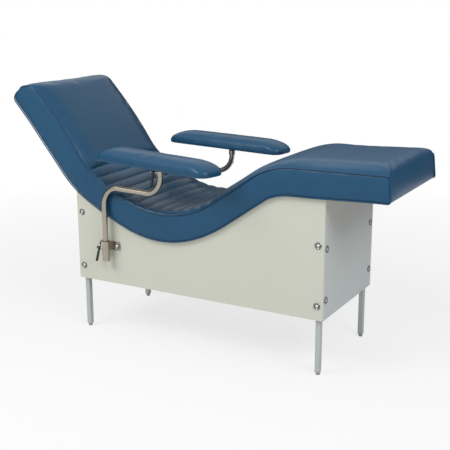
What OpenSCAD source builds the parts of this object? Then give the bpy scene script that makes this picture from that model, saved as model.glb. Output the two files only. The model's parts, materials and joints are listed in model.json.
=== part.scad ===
// Phlebotomy chair: a contoured donor couch on a panelled box with four legs,
// and two padded armrests that lift, swing and turn.
// The origin is on the floor under the middle of everything, armrests included. X runs to
// the foot end, Y to the sitter's left and Z up. Lengths are in millimetres, angles in degrees.

/* [Placement] */
// Distance from the origin to the middle of the box, towards the foot end
box_forward = 27; // [0:1:60]
// Distance from the origin to the couch's middle plane, towards the sitter's left
plane_left = 34; // [0:1:60]

/* [Box] */
// Length of the box over its side panels
box_length = 1200; // [1080:10:1320]
// Overhang of the mattress past each side panel
side_overhang = 13; // [8:0.5:18]
// Height of the panels' lower edges above the floor
panel_bottom = 238; // [180:2:280]
// Thickness of the panels
panel_thick = 15; // [12:1:19]

/* [Legs] */
// Side of the square leg tube
leg_side = 22; // [20:1:28]
// Wall of the leg tube
leg_wall = 1.5; // [1:0.25:3]
// Corner radius of the leg tube
leg_corner = 2.5; // [1:0.5:4]
// Height of the moulded tip under a leg tube
tip_height = 15; // [10:1:24]
// Length of the tip's stem inside the tube
tip_stem = 20; // [10:1:40]
// Diameter of the dark pad that meets the floor
glide_dia = 17; // [12:1:20]
// Thickness of the dark pad
glide_thick = 3; // [2:0.5:6]

/* [Panel bolts] */
// Shank diameter of the bolts through the panels
bolt_dia = 8; // [6:1:10]
// Diameter of the domed bolt head
bolt_head_dia = 15; // [13:1:18]
// Height of the domed bolt head
bolt_head_height = 4.4; // [3:0.2:5]
// Diameter of the cup washer
washer_dia = 28; // [24:1:34]
// Thickness of the cup washer at its rim
washer_thick = 4; // [3:0.5:6]
// Depth of a side panel's upper bolts under the foot end's top seam
side_bolt_drop = 301; // [287:1:305]
// Height of a side panel's lower bolts above its lower edge
side_bolt_rise = 60; // [52:1:68]
// Depth of an end panel's upper bolts under the foot end's top seam
end_bolt_drop = 317; // [315:1:347]
// Height of an end panel's lower bolts above its lower edge
end_bolt_rise = 82; // [80:1:120]

/* [Lying surface] */
// Width of the mattress between its side seams
mattress_width = 552; // [500:2:556]
// Reach of the mattress past the foot end of the box
foot_overhang = 251; // [200:1:300]
// Height of the top seam at the foot end
foot_height = 847; // [800:1:900]
// Rise of the calf rest towards the foot end
calf_slope = 0.5; // [-3:0.5:4]
// Length of the straight calf rest
calf_len = 382; // [342:2:422]
// Length of the bend under the knees
knee_len = 200; // [170:5:230]
// Turn of the bend under the knees
knee_turn = 34.5; // [30:0.5:38]
// Length of the straight thigh rest
thigh_len = 203; // [183:1:228]
// Length of the seat hollow
seat_len = 430; // [400:5:465]
// Turn of the seat hollow
seat_turn = 55; // [51:0.5:58]
// Length of the bend behind the hips
hip_len = 205; // [185:5:225]
// Turn of the bend behind the hips
hip_turn = 13.5; // [10:0.5:17]
// Length of the bend into the back
lumbar_len = 130; // [115:5:145]
// Turn of the bend into the back
lumbar_turn = 22.5; // [18:0.5:26]
// Length of the back rest
back_len = 285; // [250:5:310]
// Backward turn of the back rest
back_turn = 8.5; // [5:0.5:12]
// Length of the head rest to the tip of its nose
head_len = 143; // [120:1:160]

/* [Mattress] */
// Thickness at the foot end
foot_thick = 101; // [98:1:116]
// Thickness at the knee bend
knee_thick = 109; // [103:1:121]
// Thickness under the thighs
thigh_thick = 102; // [95:1:115]
// Thickness in the seat hollow
seat_thick = 115; // [105:1:125]
// Thickness behind the hips
hip_thick = 108; // [100:1:122]
// Thickness of the back rest
back_thick = 128; // [116:1:140]
// Thickness at the head end
head_thick = 124; // [112:1:136]
// Crown of the top between its side seams
crown = 24; // [12:0.5:28]
// Crown of the seat hollow between its side seams
seat_crown = 28; // [12:0.5:32]
// Crown of the top at the foot end
foot_crown = 32; // [12:0.5:34]
// Bulge of the side bands past their seams
bulge = 4; // [2:0.5:6]
// Bulge of the foot end's face
end_bulge = 6; // [2:0.5:10]
// Length over which the nose of the head end rounds off
nose_len = 73; // [60:1:90]
// Edge radius across the top of the foot end
foot_round = 22; // [14:1:30]
// Radius of the upright corners at both ends
corner_round = 12; // [6:1:20]
// Number of sewn channels in the seat
channel_count = 12; // [8:1:14]
// Spacing of the sewn channels
channel_pitch = 55; // [45:1:60]
// Depth of the sewn channels
channel_depth = 7; // [3:0.5:9]
// Distance along the top from the foot end to the first channel
channel_start = 815; // [790:5:850]
// Padding sewn into the cover over the foam core
quilt_thick = 15; // [12:1:20]
// Thickness of the cover's sides and ends
cover_side = 5; // [3:0.5:8]
// Thickness of the moulded ply shell
shell_thick = 15; // [12:1:20]

/* [Rails] */
// Width of the cross rails under the shell
rail_width = 20; // [16:1:24]
// Depth of the cross rails
rail_depth = 40; // [30:1:50]
// Leg length of the angle brackets
bracket_leg = 30; // [24:1:36]
// Thickness of the angle brackets
bracket_thick = 2; // [1.5:0.5:3]
// Shank diameter of the wood screws
screw_dia = 4.5; // [3.5:0.5:6]
// Head diameter of the wood screws
screw_head_dia = 9; // [8:0.5:12]
// Head height of the wood screws
screw_head_height = 2.5; // [2:0.5:4]

/* [Armrest post] */
// Distance of the posts from the head end of the box
post_setback = 176.5; // [150:0.5:200]
// Distance of a post's axis from the mattress's side seam
post_gap = 21; // [20:0.5:25]
// Outer diameter of the post tube
tube_dia = 24; // [20:0.5:25]
// Wall of the post tube
tube_wall = 2; // [1.5:0.25:3]
// Radius of both bends, at the tube's axis
bend_radius = 80; // [50:1:84]
// Depth of the tube's level run under the foot end's top seam, armrest at its lowest
run_drop = 169; // [140:1:175]
// Distance between the two upright stretches of the tube
run_length = 318; // [280:1:350]
// Rise from the level run's axis to the collar's top
arm_rise = 105; // [100:1:130]
// Height at which the right armrest stands above its lowest
right_raise = 6; // [0:1:30]
// Outward swing of the right armrest as it stands
right_swing = 6; // [0:0.5:20]
// Outward swing of the left armrest as it stands
left_swing = -4; // [-4:0.5:20]

/* [Post sleeve] */
// Outer diameter of the sleeve
sleeve_dia = 33; // [32:0.5:38]
// Depth of the sleeve's lower end under the bracket plate's middle
sleeve_drop = 64; // [58:1:68]
// Length of the sleeve
sleeve_len = 89; // [84:1:110]
// Height of the lip inside the sleeve's lower end
sleeve_lip = 3; // [2:0.5:5]
// Outer diameter of the split bush
bush_dia = 27; // [26.5:0.25:30]
// Thickness of the bush's flange on the sleeve's rim
flange_thick = 2; // [1.5:0.25:3]
// Depth of the bracket plate's middle under the foot end's top seam
bracket_drop = 433; // [415:1:445]
// Width of the bracket plate
plate_width = 106; // [96:1:120]
// Height of the bracket plate
plate_height = 36; // [32:1:40]
// Thickness of the bracket plate
plate_thick = 6; // [4:0.5:8]
// Spacing of the two bracket bolts
bracket_bolt_gap = 80; // [72:1:86]

/* [Clamp levers] */
// Diameter of the clamp studs
stud_dia = 8; // [6:0.5:10]
// Diameter of a lever's hub
hub_dia = 15; // [12:0.5:17]
// Length of a lever's hub
hub_len = 22; // [16:1:28]
// Length of a lever's arm
lever_len = 62; // [50:1:68]
// Lean of a lever's arm away from its post
lever_lean = 15; // [5:1:20]
// Diameter of a lever's arm at its hub
lever_root = 9; // [7:0.5:11]
// Diameter of a lever's arm at its end
lever_tip = 12; // [9:0.5:13]

/* [Pad joint] */
// Outer diameter of the collar
collar_dia = 29; // [28:0.5:36]
// Height of the collar
collar_height = 24; // [22:0.5:30]
// Diameter of the spindle that the pad turns on
spindle_dia = 12; // [10:0.5:14]
// Length of the spindle inside the collar
spindle_len = 34; // [28:1:40]
// Height of the pad's underside above the collar
pad_lift = 13; // [8:0.5:16]
// Length of the plate under the pad
mount_len = 90; // [70:1:120]
// Width of the plate under the pad
mount_width = 70; // [56:1:90]
// Thickness of the plate under the pad
mount_thick = 4; // [3:0.5:6]

/* [Armrest pad] */
// Length of a pad
pad_len = 642; // [560:2:660]
// Width of a pad
pad_width = 135; // [120:1:150]
// Height of a pad over its crown
pad_height = 58; // [46:1:62]
// Corner radius of a pad
pad_corner = 34; // [25:1:45]
// Height of the pad's upright edge
pad_edge_height = 12; // [9:0.5:16]
// Width over which the pad's crown falls to its sides
pad_shoulder_width = 58; // [45:1:60]
// Length over which the pad's crown falls to its ends
pad_shoulder_len = 95; // [60:1:120]
// Thickness of the pad's board
pad_board_thick = 10; // [8:0.5:12]
// Thickness of the pad's cover beside its board
pad_side = 6; // [4:0.5:10]
// Offset of the pad's middle from its spindle, towards the head end
pad_shift = 20; // [0:1:40]
// Outward turn of the right pad from the couch's axis
right_pad_turn = 12; // [0:1:20]
// Inward turn of the left pad from the couch's axis
left_pad_turn = 8; // [0:1:20]
// Turn of the left pad's lock about its collar, from the head end outwards
left_lock_turn = 60; // [0:5:90]

/* [Clearances] */
// Radial clearance of turning and sliding fits
running_gap = 0.05; // [0.02:0.01:0.1]
// Radial clearance of bolts in their holes
bolt_gap = 0.3; // [0.1:0.1:0.6]
// Clearance between faces that only pass each other
free_gap = 0.3; // [0.2:0.1:0.6]
// Distance from the top of a leg to the shell above it
leg_top_gap = 14; // [8:1:30]

/* [Hidden] */
$fn = 48;
// How far a cut runs past the face that it opens
overrun = tube_wall / 2;
panel_color = [0.76, 0.77, 0.71];
leg_color = [0.72, 0.73, 0.71];
tip_color = [0.5, 0.52, 0.52];
dark_color = [0.08, 0.08, 0.09];
steel_color = [0.72, 0.69, 0.62];
wood_color = [0.78, 0.63, 0.43];
foam_color = [0.9, 0.86, 0.66];
vinyl_color = [0.13, 0.29, 0.44];
bush_color = [0.2, 0.2, 0.2];
zinc_color = [0.66, 0.67, 0.68];

// Sizes that follow the mattress, so that the box and the armrests keep to it
box_width = mattress_width - 2 * side_overhang;
side_bolt_high = foot_height - side_bolt_drop;
side_bolt_low = panel_bottom + side_bolt_rise;
end_bolt_high = foot_height - end_bolt_drop;
end_bolt_low = panel_bottom + end_bolt_rise;
post_standoff = side_overhang + post_gap;
run_height = foot_height - run_drop;
bracket_height = foot_height - bracket_drop;
sleeve_bottom = bracket_height - sleeve_drop;

// Course of the top seam from the foot end to the nose, each stretch a length and a turn
course = [
    [calf_len, 0],
    [knee_len, knee_turn],
    [thigh_len, 0],
    [seat_len, -seat_turn],
    [hip_len, -hip_turn],
    [lumbar_len, -lumbar_turn],
    [back_len, back_turn],
    [head_len, 0]
];
function chord(len, turn) = turn == 0 ? len : len * sin(turn / 2) / (turn / 2) * 180 / PI;
function step_on(from, stretch, len) =
    let (turn = stretch[1] * len / stretch[0], reach = chord(len, turn))
    [from[0] + reach * cos(from[2] + turn / 2),
     from[1] + reach * sin(from[2] + turn / 2),
     from[2] + turn];
function joint_at(i) = i == 0
    ? [box_length / 2 + foot_overhang, foot_height, 180 + calf_slope]
    : step_on(joint_at(i - 1), course[i - 1], course[i - 1][0]);
function run_to(i) = i == 0 ? 0 : run_to(i - 1) + course[i - 1][0];
joints = [for (i = [0:len(course)]) joint_at(i)];
runs = [for (i = [0:len(course)]) run_to(i)];
course_len = runs[len(course)];

// Point and heading on the course, at a distance along it and a depth under the seam
function stretch_at(s) = len([for (i = [1:len(course) - 1]) if (s > runs[i]) i]);
function heading_at(s) = let (i = stretch_at(s)) step_on(joints[i], course[i], s - runs[i]);
function under_seam(s, depth) =
    let (p = heading_at(s))
    [p[0] + depth * cos(p[2] + 90), p[1] + depth * sin(p[2] + 90)];

// Thickness of the mattress along the course, eased between its named values
thick_places = [
    [0, foot_thick],
    [calf_len, knee_thick],
    [calf_len + knee_len, thigh_thick],
    [calf_len + knee_len + thigh_len, thigh_thick],
    [calf_len + knee_len + thigh_len + seat_len * 0.65, seat_thick],
    [calf_len + knee_len + thigh_len + seat_len + hip_len / 2, hip_thick],
    [course_len - head_len - back_len * 0.4, back_thick],
    [course_len - nose_len, head_thick],
    [course_len, head_thick]
];
crown_places = [
    [0, foot_crown],
    [calf_len, crown],
    [calf_len + knee_len + thigh_len * 0.2, crown],
    [calf_len + knee_len + thigh_len, seat_crown],
    [calf_len + knee_len + thigh_len + seat_len / 2, seat_crown],
    [calf_len + knee_len + thigh_len + seat_len + hip_len, crown],
    [course_len, crown]
];
function eased(u) = (1 - cos(180 * u)) / 2;
function eased_along(places, s) =
    let (last = len(places) - 2,
         i = min(last, len([for (p = places) if (s > p[0] && p[0] > 0) 1])),
         a = places[i], b = places[i + 1],
         u = max(0, min(1, (s - a[0]) / (b[0] - a[0]))))
    a[1] + (b[1] - a[1]) * eased(u);
function thick_at(s) = eased_along(thick_places, s);
function crown_at(s) = eased_along(crown_places, s);
// How far an edge has rounded off, at a distance from the end that it rounds to
function rounded(from_end, reach, drop) = from_end >= reach
    ? 0
    : drop * (1 - sqrt(max(0, 1 - pow(1 - max(0, from_end) / reach, 2))));

// Places along the course where the ply shell and what seats on it have their facets
facet_turn = 4;
least_facet_count = 4;
shell_end = 2 * cover_side;
base_places = concat(
    [shell_end],
    [for (i = [0:len(course) - 1])
        let (n = max(least_facet_count, ceil(abs(course[i][1]) / facet_turn)))
        for (k = [1:n])
            let (s = runs[i] + course[i][0] * k / n)
            if (s > shell_end + shell_thick && s < course_len - nose_len / 2 - shell_thick) s],
    [course_len - nose_len / 2]
);
base_line = [for (s = base_places) under_seam(s, thick_at(s))];
// Height of the shell's underside at a distance along the box
function base_height(x) = lookup(x, [for (p = base_line) p]);

// Points of the leg, the post and the sleeve that other pieces are set from
leg_inset = panel_thick + leg_side / 2;
leg_x = box_length / 2 - leg_inset;
leg_y = box_width / 2 - leg_inset;
inner_width = box_width - 2 * panel_thick;
bolt_hole_dia = bolt_dia + 2 * bolt_gap;
washer_floor = washer_thick / 2;
nut_size = bolt_dia * 1.6;
nut_thick = bolt_dia * 0.8;
bolt_reach = panel_thick + leg_side + nut_thick + bolt_dia / 4;
post_x = -box_length / 2 + post_setback;
post_y = box_width / 2 + post_standoff;
sleeve_top = sleeve_bottom + sleeve_len;
clamp_height = bracket_height - plate_height / 4;
collar_top = run_height + arm_rise;
pad_bottom = collar_top + pad_lift;
lock_height = collar_top - collar_height * 0.375;
tube_seat = collar_height / 4;
function swing_of(side) = side == "right" ? right_swing : left_swing;
function raise_of(side) = side == "right" ? right_raise : 0;
function pad_turn_of(side) = side == "right" ? right_pad_turn : -left_pad_turn;
function lock_turn_of(side) = side == "right" ? 0 : left_lock_turn;

// The modules below draw about the box's middle, and this sets them about the origin
module placed() {
    translate([box_forward, plane_left, 0]) children();
}

// Everything on the left is the right-hand piece mirrored
module on_side(side) {
    mirror([0, side == "left" ? 1 : 0, 0]) children();
}

module each_corner() {
    for (x = [-leg_x, leg_x], y = [-leg_y, leg_y]) translate([x, y, 0]) children();
}

module rounded_square(width, height, radius) {
    square([width - 2 * radius, height], center = true);
    square([width, height - 2 * radius], center = true);
    for (x = [-1, 1], y = [-1, 1])
        translate([x * (width / 2 - radius), y * (height / 2 - radius)]) circle(radius);
}

// A side view outline drawn out across the chair
module across(width, outline) {
    rotate([90, 0, 0]) linear_extrude(width, center = true) polygon(outline);
}

module under_shell() {
    first = base_line[0];
    last = base_line[len(base_line) - 1];
    across(box_width + 2 * overrun, concat(base_line, [[last[0], 0], [first[0], 0]]));
}

// The places of the bolts through a side panel and through both end panels, heads outwards
module side_bolt_places() {
    for (x = [-leg_x, leg_x], z = [side_bolt_low, side_bolt_high])
        translate([x, -box_width / 2, z]) rotate([90, 0, 0]) children();
}
module end_bolt_places() {
    for (end = [0, 180], y = [-leg_y, leg_y], z = [end_bolt_low, end_bolt_high])
        rotate([0, 0, end]) translate([box_length / 2, y, z]) rotate([0, 90, 0]) children();
}
module panel_bolt_places() {
    side_bolt_places() children();
    on_side("left") side_bolt_places() children();
    end_bolt_places() children();
}
module bracket_bolt_places() {
    for (x = [-1, 1])
        translate([post_x + x * bracket_bolt_gap / 2, -box_width / 2, bracket_height])
            rotate([90, 0, 0]) children();
}
// A hole along a bolt, from outside its panel to past its nut
module bolt_hole() {
    translate([0, 0, -bolt_reach]) cylinder(h = bolt_reach + washer_thick, d = bolt_hole_dia);
}

// Cross rails, each on the facet of the shell above its share of the box's length
rail_shares = [0.07, 0.29, 0.53, 0.935];
module at_rail(i) {
    x = box_length / 2 - rail_shares[i] * box_length;
    k = max([for (k = [0:len(base_places) - 2]) if (base_line[k][0] >= x) k]);
    foot = base_line[k];
    head = base_line[k + 1];
    translate([(foot[0] + head[0]) / 2, 0, (foot[1] + head[1]) / 2])
        rotate([0, -atan2(foot[1] - head[1], foot[0] - head[0]), 0]) children();
}
module each_rail() {
    for (i = [0:len(rail_shares) - 1]) at_rail(i) children();
}
shell_screw_spread = inner_width * 0.6;
shell_screw_grip = shell_thick * 0.7;
bracket_screw_len = panel_thick * 0.7;
// Places of the screws, with Z pointing into the wood and its zero at the seat of the head
module shell_screw_places() {
    for (y = [-1, 1]) translate([0, y * shell_screw_spread / 2, -rail_depth]) children();
}
module rail_screw_places() {
    for (y = [-1, 1])
        translate([0, y * (inner_width / 2 - bracket_leg * 0.6), -rail_depth - bracket_thick])
            children();
}
module panel_screw_places() {
    for (y = [-1, 1])
        translate([0, y * (inner_width / 2 - bracket_thick), -rail_depth - bracket_leg * 0.6])
            rotate([-y * 90, 0, 0]) children();
}
module screw_hole(len) {
    translate([0, 0, -overrun]) cylinder(h = len + overrun, d = screw_dia + 2 * running_gap);
}
module screw(len) {
    cylinder(h = len, d = screw_dia);
    difference() {
        translate([0, 0, -screw_head_height]) cylinder(h = screw_head_height, d = screw_head_dia);
        translate([0, 0, -screw_head_height - overrun])
            cylinder(h = screw_head_height / 2 + overrun, d = screw_head_dia * 0.45, $fn = 6);
    }
}

// Box
module side_panel(side) {
    color(panel_color) on_side(side) difference() {
        intersection() {
            translate([-box_length / 2, -box_width / 2, panel_bottom])
                cube([box_length, panel_thick, foot_height]);
            under_shell();
        }
        side_bolt_places() bolt_hole();
        bracket_bolt_places() bolt_hole();
        each_rail() panel_screw_places() screw_hole(bracket_screw_len);
    }
}

module end_panel(end) {
    color(panel_color) difference() {
        intersection() {
            translate([end > 0 ? box_length / 2 - panel_thick : -box_length / 2,
                       -inner_width / 2, panel_bottom])
                cube([panel_thick, inner_width, foot_height]);
            under_shell();
        }
        end_bolt_places() bolt_hole();
    }
}

module leg(end, side) {
    top = min(base_height(end * leg_x - leg_side / 2), base_height(end * leg_x + leg_side / 2))
        - leg_top_gap;
    color(leg_color) difference() {
        translate([end * leg_x, side * leg_y, tip_height]) linear_extrude(top - tip_height)
            difference() {
                rounded_square(leg_side, leg_side, leg_corner);
                square(leg_side - 2 * leg_wall, center = true);
            }
        panel_bolt_places() bolt_hole();
    }
}

module leg_tips() {
    stem = leg_side - 2 * leg_wall - 2 * running_gap;
    rim = tip_height * 0.2;
    color(tip_color) each_corner() {
        translate([0, 0, tip_height - rim]) linear_extrude(rim)
            rounded_square(leg_side, leg_side, leg_corner);
        translate([0, 0, tip_height - overrun / 2]) linear_extrude(tip_stem + overrun / 2)
            square(stem, center = true);
        translate([0, 0, glide_thick])
            cylinder(h = tip_height - rim - glide_thick + overrun / 2, d1 = glide_dia, d2 = leg_side);
    }
}

module glide_pads() {
    color(dark_color) each_corner() cylinder(h = glide_thick, d = glide_dia);
}

// Bolts
module cup_washer() {
    bevel = washer_thick * 0.4;
    difference() {
        union() {
            cylinder(h = washer_thick - bevel, d = washer_dia);
            translate([0, 0, washer_thick - bevel])
                cylinder(h = bevel, d1 = washer_dia, d2 = washer_dia - 2 * bevel);
        }
        translate([0, 0, -overrun]) cylinder(h = washer_thick + 2 * overrun, d = bolt_hole_dia);
        translate([0, 0, washer_floor])
            cylinder(h = washer_thick, d1 = bolt_head_dia + 2 * bolt_gap, d2 = washer_dia);
    }
}

// A domed head on a shank, its seat at zero and its shank downwards
module dome_bolt(reach) {
    ball = (pow(bolt_head_dia / 2, 2) + pow(bolt_head_height, 2)) / (2 * bolt_head_height);
    difference() {
        union() {
            intersection() {
                translate([0, 0, bolt_head_height - ball]) sphere(ball);
                cylinder(h = bolt_head_height, d = bolt_head_dia);
            }
            translate([0, 0, -reach]) cylinder(h = reach + overrun / 2, d = bolt_dia);
        }
        translate([0, 0, bolt_head_height * 0.4])
            cylinder(h = bolt_head_height, d = bolt_dia * 0.7, $fn = 6);
    }
}

module hex_nut() {
    difference() {
        cylinder(h = nut_thick, d = nut_size, $fn = 6);
        translate([0, 0, -overrun])
            cylinder(h = nut_thick + 2 * overrun, d = bolt_dia + 2 * running_gap);
    }
}

module cup_washers() {
    color(zinc_color) panel_bolt_places() cup_washer();
}

module panel_bolts() {
    color(zinc_color) panel_bolt_places()
        translate([0, 0, washer_floor]) dome_bolt(bolt_reach + washer_floor);
}

module panel_nuts() {
    color(zinc_color) panel_bolt_places()
        translate([0, 0, -panel_thick - leg_side - nut_thick]) hex_nut();
}

// Rails under the shell
module rail(i) {
    color(wood_color) at_rail(i) difference() {
        translate([-rail_width / 2, -inner_width / 2, -rail_depth])
            cube([rail_width, inner_width, rail_depth]);
        shell_screw_places() screw_hole(rail_depth + overrun);
        rail_screw_places() screw_hole(bracket_screw_len);
    }
}

module rail_brackets() {
    color(zinc_color) each_rail() difference() {
        for (y = [0, 1]) mirror([0, y, 0]) {
            translate([-rail_width / 2, inner_width / 2 - bracket_leg, -rail_depth - bracket_thick])
                cube([rail_width, bracket_leg, bracket_thick]);
            translate([-rail_width / 2, inner_width / 2 - bracket_thick, -rail_depth - bracket_leg])
                cube([rail_width, bracket_thick, bracket_leg - bracket_thick / 2]);
        }
        rail_screw_places() screw_hole(bracket_thick + overrun);
        panel_screw_places() screw_hole(bracket_thick + overrun);
    }
}

module bracket_screws() {
    color(zinc_color) each_rail() {
        rail_screw_places() screw(bracket_screw_len);
        panel_screw_places() screw(bracket_screw_len);
    }
}

module shell_screws() {
    color(zinc_color) each_rail() shell_screw_places() screw(rail_depth + shell_screw_grip);
}

// Mattress
module seat_shell() {
    inner_line = [for (s = base_places) under_seam(s, thick_at(s) - shell_thick)];
    turned_back = [for (i = [len(inner_line) - 1:-1:0]) inner_line[i]];
    color(wood_color) difference() {
        across(mattress_width - 2 * cover_side, concat(base_line, turned_back));
        each_rail() translate([0, 0, rail_depth]) shell_screw_places()
            screw_hole(shell_screw_grip);
    }
}

// The foam follows the nose at half its length, a quilt's thickness under the seam
function foam_top(s) = quilt_thick + rounded(course_len - s, nose_len, head_thick * nose_share);
nose_share = 0.64;
foam_outline = concat(
    [for (s = base_places) under_seam(s, thick_at(s) - shell_thick)],
    [for (i = [len(base_places) - 1:-1:0]) under_seam(base_places[i], foam_top(base_places[i]))]
);

module foam_core() {
    color(foam_color) across(mattress_width - 2 * cover_side, foam_outline);
}

// One round of the cover, across the course at the distance s.
// Each point is a distance from the middle and a depth under the seam.
function groove_at(s) =
    let (u = (s - channel_start) / channel_pitch)
    u < 0 || u > channel_count ? 0 : channel_depth * (1 - abs(sin(180 * u)));
foot_edge = foot_round * 0.5;
foot_lean = foot_round * 0.45;
seam_border = mattress_width * 0.085;
// Where the side band bulges, in shares of its height, and the top's rise towards its
// middle, in shares of the border's width and of the crown
side_shares = [0.3, 0.7];
top_shares = [[0.26, 0.45], [1, 0.82], [2.4, 0.95]];
nose_under = nose_len * 0.42;
function top_drop(s) = rounded(course_len - s, nose_len, head_thick * nose_share)
    + rounded(s, foot_round, foot_round) + dished(s);
function base_lift(s) = rounded(course_len - s, nose_under, head_thick * (1 - nose_share))
    + rounded(s, foot_edge, foot_edge) + dished(s);
function half_width(s) = mattress_width / 2
    - rounded(min(s, course_len - s), corner_round, corner_round) - 2 * dished(s);
// How far the crown of the foot end's face has drawn in from its edges
function dished(s) = s < 0 ? foot_thick / 4 : 0;
function half_round(s) =
    let (low = thick_at(s) - base_lift(s), top = top_drop(s), wide = half_width(s),
         full = (low - top) / thick_at(s), rise = crown_at(s) * full, groove = groove_at(s))
    concat([[wide, low],
            for (share = side_shares) [wide + bulge * full, low - (low - top) * share],
            [wide, top]],
           [for (p = top_shares)
               [wide - p[0] * seam_border, top - rise * p[1] + (p[0] < 1 ? 0 : groove)]]);
function whole_round(s) =
    let (side = half_round(s), n = len(side), top = top_drop(s),
         full = (thick_at(s) - base_lift(s) - top) / thick_at(s))
    concat(side, [[0, top - crown_at(s) * full + groove_at(s)]],
           [for (i = [n - 1:-1:0]) [-side[i][0], side[i][1]]]);
// The foot end's face leans out towards its lower edge
function leaned(s, depth) = s - foot_lean * depth / foot_thick * max(0, 1 - s / foot_thick);
function round_points(s) = [for (p = whole_round(s))
    let (q = under_seam(leaned(s, p[1]), p[1])) [q[0], p[0], q[1]]];

foot_shares = [-end_bulge / foot_round, 0, 0.1, 0.4, 1];
channel_shares = [0, 0.2, 0.5, 0.8];
nose_shares = [1, 0.72, 0.46, 0.27, 0.13, 0.05, 0.004];
function sorted(a) = len(a) < 2 ? a : let (p = a[floor(len(a) / 2)])
    concat(sorted([for (v = a) if (v < p) v]), [p], sorted([for (v = a) if (v > p) v]));
cover_places = let (
    channel_end = channel_start + channel_count * channel_pitch,
    flat = foot_round,
    bends = [for (i = [0:len(course) - 2])
        let (n = max(2, ceil(abs(course[i][1]) / (facet_turn * 1.5))))
        for (k = [1:n]) runs[i] + course[i][0] * k / n]
) sorted(concat(
    foot_round * foot_shares,
    [for (s = bends) if (s > foot_round + flat && s < channel_start - channel_pitch / 3) s],
    [for (i = [0:channel_count - 1], u = channel_shares) channel_start + (i + u) * channel_pitch],
    [channel_end],
    [for (s = bends) if (s > channel_end + channel_pitch / 3 && s < course_len - nose_len - flat) s],
    [for (u = nose_shares) course_len - nose_len * u]
));

module lofted(rings) {
    n = len(rings[0]);
    last = len(rings) - 1;
    polyhedron(
        points = [for (ring = rings) each ring],
        faces = concat(
            [[for (k = [n - 1:-1:0]) k]],
            [for (i = [0:last - 1], k = [0:n - 1], half = [0, 1])
                let (a = i * n + k, b = i * n + (k + 1) % n)
                half == 0 ? [a, b, b + n] : [a, b + n, a + n]],
            [[for (k = [0:n - 1]) last * n + k]]
        ),
        convexity = 10
    );
}

// The shell's corners at one of its ends, so that its hollow in the cover ends flush with it
function shell_end_points(s, rises) = [for (rise = rises) under_seam(s, thick_at(s) - rise)];

module mattress_cover() {
    n = len(base_places) - 1;
    base_outline = concat(
        [for (s = base_places) under_seam(s, thick_at(s) + overrun)],
        shell_end_points(base_places[n], [0, shell_thick]),
        [for (i = [n:-1:0]) under_seam(base_places[i], foam_top(base_places[i]))],
        shell_end_points(base_places[0], [shell_thick, 0])
    );
    color(vinyl_color) difference() {
        lofted([for (s = cover_places) round_points(s)]);
        across(mattress_width - 2 * cover_side, base_outline);
    }
}

// Frames of an armrest: at its post's axis, swung and lifted with the arm, at its spindle,
// and turned with its pad
module at_post(side) {
    on_side(side) translate([post_x, -post_y, 0]) children();
}
module swung(side) {
    at_post(side) rotate([0, 0, -swing_of(side)]) children();
}
module lifted(side) {
    swung(side) translate([0, 0, raise_of(side)]) children();
}
module at_spindle(side) {
    lifted(side) translate([run_length, 0, 0]) children();
}
module at_pad(side) {
    at_spindle(side) rotate([0, 0, swing_of(side) - pad_turn_of(side)]) children();
}
// A clamp axis, Z pointing away from its post towards the head end
module clamp_axis(height) {
    translate([0, 0, height]) rotate([0, -90, 0]) children();
}
module lock_axis(side) {
    rotate([0, 0, lock_turn_of(side)]) clamp_axis(lock_height) children();
}

module sleeve_bracket(side) {
    web = plate_height * 0.5;
    color(steel_color) difference() {
        union() {
            at_post(side) {
                translate([0, 0, sleeve_bottom]) cylinder(h = sleeve_len, d = sleeve_dia);
                translate([-web / 2, 0, bracket_height - plate_height / 2])
                    cube([web, post_standoff - plate_thick / 2, plate_height]);
                translate([0, post_standoff, bracket_height]) rotate([90, 0, 0])
                    linear_extrude(plate_thick)
                        rounded_square(plate_width, plate_height, plate_height / 6);
                clamp_axis(clamp_height) clamp_boss(sleeve_dia / 2);
            }
        }
        at_post(side) {
            translate([0, 0, sleeve_bottom + sleeve_lip])
                cylinder(h = sleeve_len, d = bush_dia + 2 * running_gap);
            translate([0, 0, sleeve_bottom - overrun])
                cylinder(h = sleeve_len, d = tube_dia * 0.6);
            clamp_axis(clamp_height) cylinder(h = sleeve_dia * 2, d = stud_dia + 2 * running_gap);
        }
        on_side(side) bracket_bolt_places() translate([0, 0, -overrun])
            cylinder(h = post_standoff, d = bolt_hole_dia);
    }
}

module bracket_washers(side) {
    color(zinc_color) on_side(side) bracket_bolt_places()
        translate([0, 0, plate_thick]) cup_washer();
}

module bracket_bolts(side) {
    color(zinc_color) on_side(side) bracket_bolt_places()
        translate([0, 0, plate_thick + washer_floor])
            dome_bolt(plate_thick + washer_floor + panel_thick + nut_thick + bolt_dia / 4);
}

module bracket_nuts(side) {
    color(zinc_color) on_side(side) bracket_bolt_places()
        translate([0, 0, -panel_thick - nut_thick]) hex_nut();
}

// The split liner that turns in the sleeve, with its collar on the sleeve's rim
module sleeve_bush(side) {
    slit = tube_wall;
    bottom = sleeve_bottom + sleeve_lip + free_gap;
    color(bush_color) swung(side) difference() {
        union() {
            translate([0, 0, bottom]) cylinder(h = sleeve_top - bottom + flange_thick, d = bush_dia);
            translate([0, 0, sleeve_top]) cylinder(h = flange_thick, d = sleeve_dia);
        }
        translate([0, 0, sleeve_bottom])
            cylinder(h = sleeve_len + 2 * flange_thick, d = tube_dia + 2 * running_gap);
        translate([0, -slit / 2, sleeve_bottom])
            cube([sleeve_dia, slit, sleeve_len + 2 * flange_thick]);
    }
}

// Clamp levers: a stud through a wall, and a moulded lever on the stud
module clamp_stud(tip, shoulder) {
    translate([0, 0, tip]) cylinder(h = shoulder + hub_len + stud_dia / 2 - tip, d = stud_dia);
    translate([0, 0, shoulder + hub_len]) cylinder(h = stud_dia / 2, d = stud_dia * 1.4, $fn = 6);
}

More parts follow.
